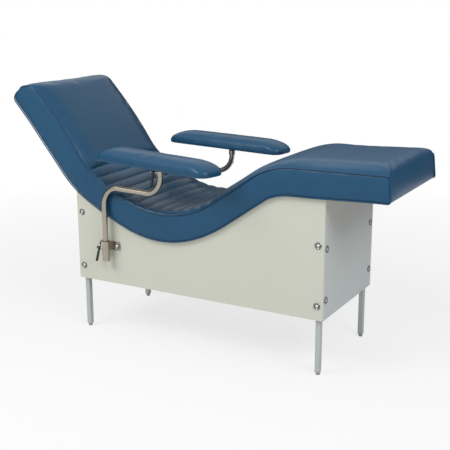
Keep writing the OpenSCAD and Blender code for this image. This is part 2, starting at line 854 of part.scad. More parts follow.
module clamp_handle(shoulder) {
    difference() {
        union() {
            translate([0, 0, shoulder])
                cylinder(h = hub_len * 0.7, d1 = hub_dia * 0.85, d2 = hub_dia);
            translate([0, 0, shoulder + hub_len * 0.7])
                cylinder(h = hub_len * 0.3, d1 = hub_dia, d2 = hub_dia * 0.8);
            translate([0, 0, shoulder + hub_len * 0.6]) rotate([0, lever_lean - 90, 0]) {
                cylinder(h = lever_len, d1 = lever_root, d2 = lever_tip);
                translate([0, 0, lever_len]) sphere(d = lever_tip);
            }
        }
        translate([0, 0, shoulder - overrun])
            cylinder(h = hub_len + 2 * overrun, d = stud_dia + 2 * running_gap);
        translate([0, 0, -stud_dia]) cylinder(h = shoulder + stud_dia, d = 2 * hub_dia);
    }
}
boss_len = stud_dia * 0.8;
post_clamp_tip = bush_dia / 2 + running_gap;
post_clamp_shoulder = sleeve_dia / 2 + boss_len + free_gap;
pad_clamp_tip = spindle_dia / 2 + running_gap;
pad_clamp_shoulder = collar_dia / 2 + boss_len + free_gap;
module clamp_boss(wall_radius) {
    cylinder(h = wall_radius + boss_len, d = stud_dia * 2);
}

module post_clamp_stud(side) {
    color(zinc_color) at_post(side) clamp_axis(clamp_height)
        clamp_stud(post_clamp_tip, post_clamp_shoulder);
}
module post_clamp_handle(side) {
    color(dark_color) at_post(side) clamp_axis(clamp_height) clamp_handle(post_clamp_shoulder);
}
module pad_clamp_stud(side) {
    color(zinc_color) at_spindle(side) lock_axis(side)
        clamp_stud(pad_clamp_tip, pad_clamp_shoulder);
}
module pad_clamp_handle(side) {
    color(dark_color) at_spindle(side) lock_axis(side) clamp_handle(pad_clamp_shoulder);
}

// The bent tube, drawn once for its outside and once for its bore
post_foot = sleeve_bottom + sleeve_lip + free_gap + flange_thick * 2;
tube_end = collar_top - collar_height + tube_seat;
module tube_course(dia, past) {
    translate([0, 0, post_foot - past])
        cylinder(h = run_height - bend_radius - post_foot + past, d = dia);
    translate([bend_radius, 0, run_height - bend_radius]) rotate([90, 0, 0])
        rotate([0, 0, 90]) rotate_extrude(angle = 90) translate([bend_radius, 0]) circle(d = dia);
    translate([bend_radius, 0, run_height]) rotate([0, 90, 0])
        cylinder(h = run_length - 2 * bend_radius, d = dia);
    translate([run_length - bend_radius, 0, run_height + bend_radius]) rotate([90, 0, 0])
        rotate([0, 0, -90]) rotate_extrude(angle = 90) translate([bend_radius, 0]) circle(d = dia);
    translate([run_length, 0, run_height + bend_radius])
        cylinder(h = tube_end - run_height - bend_radius + past, d = dia);
}

module post(side) {
    color(steel_color) lifted(side) difference() {
        tube_course(tube_dia, 0);
        tube_course(tube_dia - 2 * tube_wall, overrun);
    }
}

module post_plug(side) {
    stem = tube_dia - 2 * tube_wall - 2 * running_gap;
    color(dark_color) lifted(side) {
        translate([0, 0, post_foot - flange_thick * 2]) cylinder(h = flange_thick * 2, d = tube_dia);
        translate([0, 0, post_foot - overrun / 2]) cylinder(h = stem, d = stem);
    }
}

module collar(side) {
    spigot = tube_dia - 2 * tube_wall - 2 * running_gap;
    bevel = collar_height / 12;
    color(steel_color) at_spindle(side) difference() {
        union() {
            translate([0, 0, collar_top - collar_height])
                cylinder(h = bevel, d1 = collar_dia - 2 * bevel, d2 = collar_dia);
            translate([0, 0, collar_top - collar_height + bevel])
                cylinder(h = collar_height - 2 * bevel, d = collar_dia);
            translate([0, 0, collar_top - bevel])
                cylinder(h = bevel, d1 = collar_dia, d2 = collar_dia - 2 * bevel);
            lock_axis(side) clamp_boss(collar_dia / 2);
        }
        difference() {
            translate([0, 0, collar_top - collar_height - overrun])
                cylinder(h = tube_seat + overrun, d = tube_dia + 2 * running_gap);
            translate([0, 0, collar_top - collar_height - 2 * overrun])
                cylinder(h = collar_height, d = spigot);
        }
        spindle_bore();
        lock_axis(side) cylinder(h = collar_dia * 2, d = stud_dia + 2 * running_gap);
    }
}
module spindle_bore() {
    translate([0, 0, collar_top - spindle_len - 2 * overrun])
        cylinder(h = spindle_len + 3 * overrun, d = spindle_dia + 2 * running_gap);
}

module pad_mount(side) {
    hub = spindle_dia * 2;
    color(dark_color) at_pad(side) difference() {
        union() {
            translate([0, 0, collar_top - spindle_len])
                cylinder(h = spindle_len + pad_lift / 2, d = spindle_dia);
            translate([0, 0, collar_top + free_gap])
                cylinder(h = pad_lift - free_gap - mount_thick / 2, d = hub);
            translate([-pad_shift, 0, pad_bottom - mount_thick]) linear_extrude(mount_thick)
                rounded_square(mount_len, mount_width, mount_width / 8);
        }
        pad_screw_places() screw_hole(mount_thick + overrun);
    }
}
// Screw seats on the underside of the mount plate, Z pointing up into the pad's board
module pad_screw_places() {
    for (x = [-1, 1], y = [-1, 1])
        translate([x * (mount_len / 2 - screw_head_dia) - pad_shift,
                   y * (mount_width / 2 - screw_head_dia), pad_bottom - mount_thick])
            children();
}

module pad_screws(side) {
    color(zinc_color) at_pad(side) pad_screw_places() screw(mount_thick + pad_board_thick * 0.7);
}

module pad_board(side) {
    color(wood_color) at_pad(side) difference() {
        translate([-pad_shift, 0, pad_bottom]) linear_extrude(pad_board_thick)
            rounded_square(pad_len - 2 * pad_side, pad_width - 2 * pad_side, pad_corner - pad_side);
        pad_screw_places() screw_hole(mount_thick + pad_board_thick * 0.7);
    }
}

// Rounds of the pad from its underside to its crown: a share of the slope's width and
// a share of the height above the band
pad_crown_shares = [
    [0, 0], [0.05, 0.25], [0.16, 0.48], [0.34, 0.7], [0.56, 0.87], [0.8, 0.97], [1, 1]
];
pad_arc_steps = 5;
function pad_round(end_inset, inset, z) =
    let (half_l = pad_len / 2 - end_inset, half_w = pad_width / 2 - inset,
         r = min(half_w - overrun, max(pad_corner - inset, pad_corner * 0.3)))
    [for (corner = [0:3], step = [0:pad_arc_steps])
        let (a = 90 * corner + 90 * step / pad_arc_steps,
             sx = corner == 0 || corner == 3 ? 1 : -1,
             sy = corner < 2 ? 1 : -1)
        [sx * (half_l - r) + r * cos(a), sy * (half_w - r) + r * sin(a), z]];
pad_rounds = concat(
    [pad_round(pad_edge_height * 0.35, pad_edge_height * 0.35, 0), pad_round(0, 0, pad_edge_height * 0.3)],
    [for (p = pad_crown_shares)
        pad_round(p[0] * pad_shoulder_len, p[0] * pad_shoulder_width,
                  pad_edge_height + p[1] * (pad_height - pad_edge_height))]
);

module pad_cushion(side) {
    color(vinyl_color) at_pad(side) difference() {
        translate([-pad_shift, 0, pad_bottom]) lofted(pad_rounds);
        translate([-pad_shift, 0, pad_bottom - overrun]) linear_extrude(pad_board_thick + overrun)
            rounded_square(pad_len - 2 * pad_side, pad_width - 2 * pad_side, pad_corner - pad_side);
    }
}

placed() side_panel("right");  // right_side_panel
placed() side_panel("left");  // left_side_panel
placed() end_panel(1);  // foot_end_panel
placed() end_panel(-1);  // head_end_panel
placed() leg(1, -1);  // foot_right_leg
placed() leg(1, 1);  // foot_left_leg
placed() leg(-1, -1);  // head_right_leg
placed() leg(-1, 1);  // head_left_leg
placed() leg_tips();
placed() glide_pads();
placed() panel_bolts();
placed() cup_washers();
placed() panel_nuts();
placed() rail(0);  // calf_rail
placed() rail(1);  // thigh_rail
placed() rail(2);  // seat_rail
placed() rail(3);  // hip_rail
placed() rail_brackets();
placed() bracket_screws();
placed() shell_screws();
placed() seat_shell();
placed() foam_core();
placed() mattress_cover();
placed() sleeve_bracket("right");  // right_sleeve_bracket
placed() bracket_washers("right");  // right_bracket_washers
placed() bracket_bolts("right");  // right_bracket_bolts
placed() bracket_nuts("right");  // right_bracket_nuts
placed() sleeve_bush("right");  // right_sleeve_bush
placed() post_clamp_stud("right");  // right_post_clamp_stud
placed() post_clamp_handle("right");  // right_post_clamp_handle
placed() post("right");  // right_post
placed() post_plug("right");  // right_post_plug
placed() collar("right");  // right_collar
placed() pad_clamp_stud("right");  // right_pad_clamp_stud
placed() pad_clamp_handle("right");  // right_pad_clamp_handle
placed() pad_mount("right");  // right_pad_mount
placed() pad_screws("right");  // right_pad_screws
placed() pad_board("right");  // right_pad_board
placed() pad_cushion("right");  // right_pad_cushion
placed() sleeve_bracket("left");  // left_sleeve_bracket
placed() bracket_washers("left");  // left_bracket_washers
placed() bracket_bolts("left");  // left_bracket_bolts
placed() bracket_nuts("left");  // left_bracket_nuts
placed() sleeve_bush("left");  // left_sleeve_bush
placed() post_clamp_stud("left");  // left_post_clamp_stud
placed() post_clamp_handle("left");  // left_post_clamp_handle
placed() post("left");  // left_post
placed() post_plug("left");  // left_post_plug
placed() collar("left");  // left_collar
placed() pad_clamp_stud("left");  // left_pad_clamp_stud
placed() pad_clamp_handle("left");  // left_pad_clamp_handle
placed() pad_mount("left");  // left_pad_mount
placed() pad_screws("left");  // left_pad_screws
placed() pad_board("left");  // left_pad_board
placed() pad_cushion("left");  // left_pad_cushion
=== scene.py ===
# Phlebotomy chair: its upholstery, finishes, light and camera
import bpy, bmesh, json, math
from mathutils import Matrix, Quaternion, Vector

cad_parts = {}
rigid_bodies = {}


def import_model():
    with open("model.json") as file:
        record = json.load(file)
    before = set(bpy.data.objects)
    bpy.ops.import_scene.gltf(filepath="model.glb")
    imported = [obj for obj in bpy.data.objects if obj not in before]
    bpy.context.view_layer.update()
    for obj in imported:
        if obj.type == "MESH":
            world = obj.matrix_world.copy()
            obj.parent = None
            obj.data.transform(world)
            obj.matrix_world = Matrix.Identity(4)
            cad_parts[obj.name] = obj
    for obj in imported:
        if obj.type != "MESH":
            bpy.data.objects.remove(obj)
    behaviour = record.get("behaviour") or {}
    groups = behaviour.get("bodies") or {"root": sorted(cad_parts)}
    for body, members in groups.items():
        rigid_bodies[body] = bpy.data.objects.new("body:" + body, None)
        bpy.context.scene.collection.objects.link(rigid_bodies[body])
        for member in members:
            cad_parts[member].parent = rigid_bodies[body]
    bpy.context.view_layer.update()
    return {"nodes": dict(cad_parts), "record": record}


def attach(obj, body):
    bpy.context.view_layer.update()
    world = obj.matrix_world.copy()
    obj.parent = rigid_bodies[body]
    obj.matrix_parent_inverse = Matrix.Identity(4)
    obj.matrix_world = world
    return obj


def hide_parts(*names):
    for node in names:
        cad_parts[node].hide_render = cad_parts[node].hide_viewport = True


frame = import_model()
cadNodes = frame["nodes"]
print("frame loaded:", len(cadNodes), "pieces")


def clearSelection():
    for o in bpy.context.view_layer.objects:
        o.select_set(False)


def makeActive(obj):
    clearSelection()
    obj.select_set(True)
    bpy.context.view_layer.objects.active = obj


def applyModifier(obj, modifier):
    makeActive(obj)
    bpy.ops.object.modifier_apply(modifier=modifier.name)


def meshObject(name, verts, faces):
    mesh = bpy.data.meshes.new(name)
    mesh.from_pydata([tuple(v) for v in verts], [], faces)
    obj = bpy.data.objects.new(name, mesh)
    bpy.context.scene.collection.objects.link(obj)
    return obj


def finishMesh(obj, merge=1e-6):
    bm = bmesh.new()
    bm.from_mesh(obj.data)
    bmesh.ops.remove_doubles(bm, verts=bm.verts, dist=merge)
    bmesh.ops.recalc_face_normals(bm, faces=bm.faces)
    bm.to_mesh(obj.data)
    bm.free()
    for poly in obj.data.polygons:
        poly.use_smooth = True


def smoothStep(lo, hi, value):
    t = max(0.0, min(1.0, (value - lo) / (hi - lo)))
    return t * t * (3 - 2 * t)


def weltAlong(name, points, radius):
    # a round cord through the points and back to the first
    curve = bpy.data.curves.new(name, "CURVE")
    curve.dimensions = "3D"
    curve.bevel_depth = radius
    curve.bevel_resolution = 2
    spline = curve.splines.new("POLY")
    spline.points.add(len(points) - 1)
    for p, place in zip(spline.points, points):
        p.co = (*place, 1)
    spline.use_cyclic_u = True
    obj = bpy.data.objects.new(name, curve)
    bpy.context.scene.collection.objects.link(obj)
    makeActive(obj)
    bpy.ops.object.convert(target="MESH")
    obj = bpy.context.view_layer.objects.active
    finishMesh(obj)
    return obj


def startMaterial(name):
    mat = bpy.data.materials.new(name)
    mat.use_nodes = True
    tree = mat.node_tree
    return mat, tree, tree.nodes["Principled BSDF"]


def addNode(tree, kind, inputs=(), **settings):
    node = tree.nodes.new(kind)
    for key, value in settings.items():
        setattr(node, key, value)
    for key, value in dict(inputs).items():
        node.inputs[key].default_value = value
    return node


def mixColours(tree, factor, first, second):
    mix = addNode(tree, "ShaderNodeMix", data_type="RGBA")
    tree.links.new(factor, mix.inputs[0])
    for socket, colour in ((6, first), (7, second)):
        if isinstance(colour, (tuple, list)):
            mix.inputs[socket].default_value = (*colour, 1)
        else:
            tree.links.new(colour, mix.inputs[socket])
    return mix.outputs[2]


def spread(tree, value, low, high, fromLow=0.0, fromHigh=1.0):
    ramp = addNode(tree, "ShaderNodeMapRange", {"From Min": fromLow, "From Max": fromHigh,
                                                "To Min": low, "To Max": high}, clamp=True)
    tree.links.new(value, ramp.inputs[0])
    return ramp.outputs[0]


def noiseOn(tree, place, scale, detail=3.0, stretch=None, distortion=0.0):
    if stretch:
        mapping = addNode(tree, "ShaderNodeMapping", {"Scale": stretch})
        tree.links.new(place, mapping.inputs["Vector"])
        place = mapping.outputs[0]
    noise = addNode(tree, "ShaderNodeTexNoise",
                    {"Scale": scale, "Detail": detail, "Distortion": distortion})
    tree.links.new(place, noise.inputs["Vector"])
    return noise.outputs[0]


def bumpFrom(tree, height, strength, distance, under=None):
    bump = addNode(tree, "ShaderNodeBump", {"Strength": strength, "Distance": distance})
    tree.links.new(height, bump.inputs["Height"])
    if under:
        tree.links.new(under, bump.inputs["Normal"])
    return bump.outputs[0]


vinylLook = {
    "colour": (0.0065, 0.060, 0.130), "faded": (0.0100, 0.070, 0.145),
    "shadedSeatColour": (0.015, 0.045, 0.080),  # painted shade: the quilted seat darker and greyer, as shaded by the armrests and its own hollow
    "roughness": (0.28, 0.38), "gloss": 0.28,
    "shadeScale": 5.0, "glossScale": 18.0,
    "grainScale": 900.0, "grainStrength": 0.35, "grainDepth": 0.00010,
    # painted shade: the welt tint on this line darkens the welts' vinyl for the shadowed crease along
    # each seam
    "pullScale": 16.0, "pullStrength": 0.15, "pullDepth": 0.0006, "weltShadeTint": 0.85,
}


def vinylMaterial(name, tint=1.0):
    look = vinylLook
    mat, tree, bsdf = startMaterial(name)
    place = addNode(tree, "ShaderNodeTexCoord").outputs["Object"]
    # tint scales the whole colour down; on the welts it is painted shade
    colour = mixColours(tree, noiseOn(tree, place, look["shadeScale"], 4.0),
                        [c * tint for c in look["colour"]], [c * tint for c in look["faded"]])
    # painted shade: a mask on the mattress points mixes the darker, greyer seat colour over the quilted
    # seat
    seatShadeMask = addNode(tree, "ShaderNodeAttribute", attribute_name="seatShadeMask")
    colour = mixColours(tree, seatShadeMask.outputs["Fac"], colour, [c * tint for c in look["shadedSeatColour"]])
    tree.links.new(colour, bsdf.inputs["Base Color"])
    tree.links.new(spread(tree, noiseOn(tree, place, look["glossScale"]), *look["roughness"]),
                   bsdf.inputs["Roughness"])
    grain = addNode(tree, "ShaderNodeTexVoronoi", {"Scale": look["grainScale"]})
    tree.links.new(place, grain.inputs["Vector"])
    skin = bumpFrom(tree, grain.outputs["Distance"], look["grainStrength"], look["grainDepth"])
    pulls = bumpFrom(tree, noiseOn(tree, place, look["pullScale"]), look["pullStrength"],
                     look["pullDepth"], skin)
    tree.links.new(pulls, bsdf.inputs["Normal"])
    bsdf.inputs["Specular IOR Level"].default_value = look["gloss"]
    return mat


laminateLook = {
    "side": (0.545, 0.555, 0.475), "sideEdge": (0.58, 0.58, 0.52),
    "end": (0.50, 0.53, 0.52), "endEdge": (0.50, 0.53, 0.52), "roughness": (0.40, 0.50),
    "shadeScale": 3.0, "shadeRange": (0.97, 1.03), "fineScale": 700.0, "fineStrength": 0.15,
    "fineDepth": 0.0001,
}


def laminateMaterial(name, colour, edgeColour, thinAxis):
    look = laminateLook
    mat, tree, bsdf = startMaterial(name)
    place = addNode(tree, "ShaderNodeTexCoord").outputs["Object"]
    dark, light = look["shadeRange"]
    face = mixColours(tree, noiseOn(tree, place, look["shadeScale"], 5.0),
                      [c * dark for c in colour], [c * light for c in colour])
    facing = addNode(tree, "ShaderNodeSeparateXYZ")
    normal = addNode(tree, "ShaderNodeNewGeometry").outputs["Normal"]
    tree.links.new(normal, facing.inputs[0])
    across = addNode(tree, "ShaderNodeMath", operation="ABSOLUTE")
    tree.links.new(facing.outputs[thinAxis], across.inputs[0])
    isEdge = spread(tree, across.outputs[0], 1.0, 0.0, 0.2, 0.6)  # the banded cut edges
    tree.links.new(mixColours(tree, isEdge, face, edgeColour), bsdf.inputs["Base Color"])
    fine = noiseOn(tree, place, look["fineScale"], 2.0)
    tree.links.new(spread(tree, fine, *look["roughness"]), bsdf.inputs["Roughness"])
    tree.links.new(bumpFrom(tree, fine, look["fineStrength"], look["fineDepth"]),
                   bsdf.inputs["Normal"])
    return mat


def metalMaterial(name, colour, rough, brushed=(400.0, 400.0, 30.0), shade=0.86):
    mat, tree, bsdf = startMaterial(name)
    place = addNode(tree, "ShaderNodeTexCoord").outputs["Object"]
    lines = noiseOn(tree, place, 1.0, 4.0, brushed)
    handled = noiseOn(tree, place, 40.0, 3.0)
    dulled = mixColours(tree, lines, [c * shade for c in colour], colour)
    dulled = mixColours(tree, spread(tree, handled, 0.0, 0.5, 0.5, 0.75), dulled,
                        [c * 0.7 for c in colour])
    tree.links.new(dulled, bsdf.inputs["Base Color"])
    tree.links.new(spread(tree, lines, *rough), bsdf.inputs["Roughness"])
    tree.links.new(bumpFrom(tree, lines, 0.08, 0.0001), bsdf.inputs["Normal"])
    bsdf.inputs["Metallic"].default_value = 1.0
    return mat


def mouldedMaterial(name, colour, rough=(0.35, 0.5), scale=500.0, vary=0.15):
    mat, tree, bsdf = startMaterial(name)
    place = addNode(tree, "ShaderNodeTexCoord").outputs["Object"]
    speck = noiseOn(tree, place, scale)
    tree.links.new(mixColours(tree, speck, [c * (1 - vary) for c in colour],
                              [c * (1 + vary) for c in colour]), bsdf.inputs["Base Color"])
    tree.links.new(spread(tree, speck, *rough), bsdf.inputs["Roughness"])
    tree.links.new(bumpFrom(tree, speck, 0.2, 0.0002), bsdf.inputs["Normal"])
    return mat


timberLook = {"early": (0.42, 0.26, 0.12), "late": (0.68, 0.50, 0.29),
              "stretch": (14.0, 1.6, 60.0)}


def timberMaterial(name):
    mat, tree, bsdf = startMaterial(name)
    place = addNode(tree, "ShaderNodeTexCoord").outputs["Object"]
    grain = noiseOn(tree, place, 2.0, 8.0, timberLook["stretch"], 0.6)
    tree.links.new(mixColours(tree, grain, timberLook["early"], timberLook["late"]),
                   bsdf.inputs["Base Color"])
    tree.links.new(spread(tree, grain, 0.5, 0.7), bsdf.inputs["Roughness"])
    tree.links.new(bumpFrom(tree, grain, 0.2, 0.0003), bsdf.inputs["Normal"])
    return mat


metalLook = {
    "nickel": (0.42, 0.38, 0.32), "nickelRough": (0.17, 0.28),
    "zinc": (0.56, 0.57, 0.58), "zincRough": (0.26, 0.40),
    # painted reflection: the nickel cup washers given a dark colour for the dark surroundings they
    # mirror
    "cup": (0.20, 0.20, 0.20), "cupRough": (0.22, 0.34), "legPaint": (0.42, 0.46, 0.43),
}
blueVinyl = vinylMaterial("blueVinyl")
# painted shade: the welts get the vinyl darkened by the welt tint
shadedWeltVinyl = vinylMaterial("shadedWeltVinyl", vinylLook["weltShadeTint"])
finishes = {
    "side_laminate": laminateMaterial("sideLaminate", laminateLook["side"],
                                      laminateLook["sideEdge"], "Y"),
    "end_laminate": laminateMaterial("endLaminate", laminateLook["end"],
                                     laminateLook["endEdge"], "X"),
    "leg_tube": mouldedMaterial("legPaint", metalLook["legPaint"], (0.32, 0.42), 900.0, 0.06),
    "tip": mouldedMaterial("legTip", (0.34, 0.36, 0.35)),
    "glide": mouldedMaterial("glideRubber", (0.02, 0.02, 0.02), (0.6, 0.75)),
    "zinc": metalMaterial("brightZinc", metalLook["zinc"], metalLook["zincRough"]),
    # painted reflection: the dark colour on the nickel cup washers
    "washer": metalMaterial("cupWasherNickel", metalLook["cup"], metalLook["cupRough"]),
    "timber": timberMaterial("sealedPly"),
    "foam": mouldedMaterial("paleFoam", (0.78, 0.70, 0.42), (0.8, 0.95), 260.0),
    "vinyl": blueVinyl,
    "bush": mouldedMaterial("linerPlastic", (0.03, 0.03, 0.03)),
    "tube": metalMaterial("satinNickel", metalLook["nickel"], metalLook["nickelRough"]),
    "black": mouldedMaterial("leverPlastic", (0.012, 0.012, 0.013), (0.3, 0.42)),
    "black_steel": mouldedMaterial("blackSteel", (0.02, 0.02, 0.022), (0.3, 0.45)),
}
slots = {s["node"]: s["material_slot"] for s in frame["record"]["subparts"]}
for name, obj in cadNodes.items():
    obj.data.materials.clear()
    obj.data.materials.append(finishes[slots[name]])
print("finishes on", len(cadNodes), "pieces")


mattress = {
    "footSeam": (0.878, 0.847), "heading": 180.5, "middle": 0.034,  # where the top seam starts
    "course": [(0.382, 0), (0.200, 34.5), (0.203, 0), (0.430, -55),
               (0.205, -13.5), (0.130, -22.5), (0.285, 8.5), (0.143, 0)],  # length and turn
    "thick": {"foot": 0.101, "knee": 0.109, "thigh": 0.102, "seat": 0.115, "hip": 0.108,
              "back": 0.128, "head": 0.124},
    "crown": {"foot": 0.032, "plain": 0.024, "seat": 0.028},
    "halfWidth": 0.276, "border": 0.047, "hem": 0.005, "bulge": 0.0025,
    "footRound": 0.022, "footPinch": 0.005, "footCorner": 0.004, "footEdge": 0.008,
    "footLean": 0.0099, "faceBulge": 0.004, "headCorner": 0.012,
    "noseLen": 0.073, "noseShare": 0.64, "noseUnder": 0.0307,
    "shell": 0.015, "shellStart": 0.010,
    "fill": 0.9, "channels": 12, "pitch": 0.055, "firstChannel": 0.815, "stitchDepth": 0.0085,
    "stitchShares": (0.62, 0.38), "stitchReach": (0.0042, 0.014),  # a crease and a wide hollow
    "stitchEdge": (0.003, 0.026), "pinchEase": 0.075, "crownSteepness": 1.37,
    "jointDepth": (0.0014, 0.0008), "jointReach": (0.003, 0.016),
    "footPlaces": (0.0, 0.0010, 0.0026, 0.0050, 0.0085, 0.0105, 0.0145, 0.0200, 0.0270),
    "channelShares": (0.0, 0.035, 0.10, 0.22, 0.50, 0.78, 0.90, 0.965),
    "netStart": 0.036, "netStep": 0.0129, "besideStitch": (0.012, 0.0055, 0.0019),
    "noseRounds": 16, "seamCrowding": 0.45,
    # painted shade on the seat: its strength, where it starts and ends along the course, and its fade
    # from the seams
    "seatShadeStrength": 0.85, "seatShadeStart": (-0.03, 0.02), "seatShadeEnd": (-0.16, 0.02), "seatShadeEdge": 0.03,
    "bandSeams": (0.930,), "topColumns": 40, "bandRows": 8, "baseColumns": 8,
    "welt": 0.0026, "swell": 0.006, "cordRise": 0.0018, "cornerRise": 0.0014, "cornerSteps": 12,
    "weltStart": 0.0015, "weltStep": 0.008, "weltSink": 0.3, "noseSteps": 14,
}
course = mattress["course"]
courseRuns = [sum(c[0] for c in course[:i]) for i in range(len(course) + 1)]
courseEnd = courseRuns[-1]
channelEnd = mattress["firstChannel"] + mattress["channels"] * mattress["pitch"]
thick, crown = mattress["thick"], mattress["crown"]
thickPlaces = [
    (0, thick["foot"]), (courseRuns[1], thick["knee"]), (courseRuns[2], thick["thigh"]),
    (courseRuns[3], thick["thigh"]), (courseRuns[3] + course[3][0] * 0.65, thick["seat"]),
    (courseRuns[4] + course[4][0] / 2, thick["hip"]),
    (courseEnd - course[7][0] - course[6][0] * 0.4, thick["back"]),
    (courseEnd - mattress["noseLen"], thick["head"]), (courseEnd, thick["head"])]
crownPlaces = [
    (0, crown["foot"]), (courseRuns[1], crown["plain"]),
    (courseRuns[2] + course[2][0] * 0.2, crown["plain"]), (courseRuns[3], crown["seat"]),
    (courseRuns[3] + course[3][0] / 2, crown["seat"]), (courseRuns[5], crown["plain"]),
    (courseEnd, crown["plain"])]


def easedAlong(places, s):
    for a, b in zip(places, places[1:]):
        if s <= b[0] or b is places[-1]:
            u = max(0.0, min(1.0, (s - a[0]) / (b[0] - a[0])))
            return a[1] + (b[1] - a[1]) * (1 - math.cos(math.pi * u)) / 2


def stepOn(place, stretch, length):
    turn = stretch[1] * length / stretch[0]
    reach = length
    if abs(turn) > 1e-9:
        half = math.radians(turn) / 2
        reach = length * math.sin(half) / half
    along = math.radians(place[2] + turn / 2)
    return (place[0] + reach * math.cos(along), place[1] + reach * math.sin(along),
            place[2] + turn)


courseJoints = [(*mattress["footSeam"], mattress["heading"])]
for stretch in course:
    courseJoints.append(stepOn(courseJoints[-1], stretch, stretch[0]))


def underSeam(s, depth):
    i = min(len(course) - 1, sum(1 for r in courseRuns[1:-1] if s > r))
    x, z, heading = stepOn(courseJoints[i], course[i], s - courseRuns[i])
    down = math.radians(heading + 90)
    return x + depth * math.cos(down), z + depth * math.sin(down)


def roundedOff(fromEnd, reach, drop):
    if fromEnd >= reach:
        return 0.0
    w = 1 - max(0.0, fromEnd) / reach
    return drop * (1 - math.sqrt(max(0.0, 1 - w * w)))


def crownShare(borders):
    # steep at the seam, nearly flat in the middle
    return 1 - 1 / (1 + mattress["crownSteepness"] * borders) ** 2


def stitchPull(s, fromSeam):
    # how far a row of stitches draws the quilted seat down
    u = (s - mattress["firstChannel"]) / mattress["pitch"]
    if u < -0.3 or u > mattress["channels"] + 0.3:
        return 0.0
    away = abs(u - min(mattress["channels"], max(0, round(u)))) * mattress["pitch"]
    creased, hollow = mattress["stitchShares"]
    near, wide = mattress["stitchReach"]
    drawn = creased * math.exp(-away / near) + hollow * math.exp(-(away / wide) ** 2)
    return mattress["stitchDepth"] * drawn * smoothStep(*mattress["stitchEdge"], fromSeam)


def bandPull(s, v):
    # the upright joints in a side band
    pull = 0.0
    for seam in mattress["bandSeams"]:
        away = abs(s - seam)
        creased, hollow = mattress["jointDepth"]
        near, wide = mattress["jointReach"]
        pull += creased * max(0.0, 1 - away / near) + hollow * math.exp(-(away / wide) ** 2)
    return pull * math.sin(math.pi * v) ** 0.4 if 0 < v < 1 else 0.0


def sectionFrame(s):
    # depth of the top seam and of the lower edge, half the width, and the crown at the middle
    m = mattress
    fromHead = courseEnd - s
    deep = easedAlong(thickPlaces, s)
    top = roundedOff(fromHead, m["noseLen"], deep * m["noseShare"]) \
        + roundedOff(s, m["footPinch"], m["footPinch"])
    low = deep - roundedOff(fromHead, m["noseUnder"], deep * (1 - m["noseShare"])) \
        - roundedOff(s, m["footEdge"], m["footEdge"])
    wide = m["halfWidth"] - roundedOff(fromHead, m["headCorner"], m["headCorner"]) \
        - roundedOff(s, m["footCorner"], m["footCorner"])
    full = max(0.0, low - top) / deep
    return top, low, wide, full


def leaned(s, depth):
    m = mattress
    return s - m["footLean"] * depth / m["thick"]["foot"] * max(0.0, 1 - s / m["thick"]["foot"])


def placeAt(s, y, depth):
    x, z = underSeam(leaned(s, depth), depth)
    return (x, y + mattress["middle"], z)


def topDepth(s, fromSeam, top, full):
    m = mattress
    roll = m["footPinch"] + (m["footRound"] - m["footPinch"]) * smoothStep(0.0, m["pinchEase"], fromSeam)
    rolled = roundedOff(s, roll, roll) - roundedOff(s, m["footPinch"], m["footPinch"])
    rise = easedAlong(crownPlaces, s) * full * crownShare(fromSeam / m["border"])
    return top + rolled - rise + stitchPull(s, fromSeam)


def mattressStations():
    m = mattress
    far, near, close = m["besideStitch"]
    step, firstStitch = m["netStep"], m["firstChannel"]
    places = list(m["footPlaces"])
    places += [m["netStart"] + step * i for i in range(int(firstStitch / step))]
    places = [p for p in places if p < firstStitch - far]
    places += [firstStitch - near, firstStitch - close]
    places += [firstStitch + (i + u) * m["pitch"] for i in range(m["channels"])
               for u in m["channelShares"]]
    places += [channelEnd, channelEnd + close, channelEnd + near]
    last = courseEnd - m["noseLen"]
    steps = int((last - channelEnd - far) / step)
    places += [channelEnd + far + (last - channelEnd - far) * i / steps for i in range(steps)]
    turns = m["noseRounds"]
    places += [courseEnd - m["noseLen"] * (1 - math.sin(math.pi / 2 * k / turns))
               for k in range(turns + 1)]
    return places


def acrossTop(wide, k):
    # closer together towards the seams
    u = k / mattress["topColumns"]
    crowded = mattress["seamCrowding"]
    return -wide * (crowded * math.cos(math.pi * u) + (1 - crowded) * (1 - 2 * u))


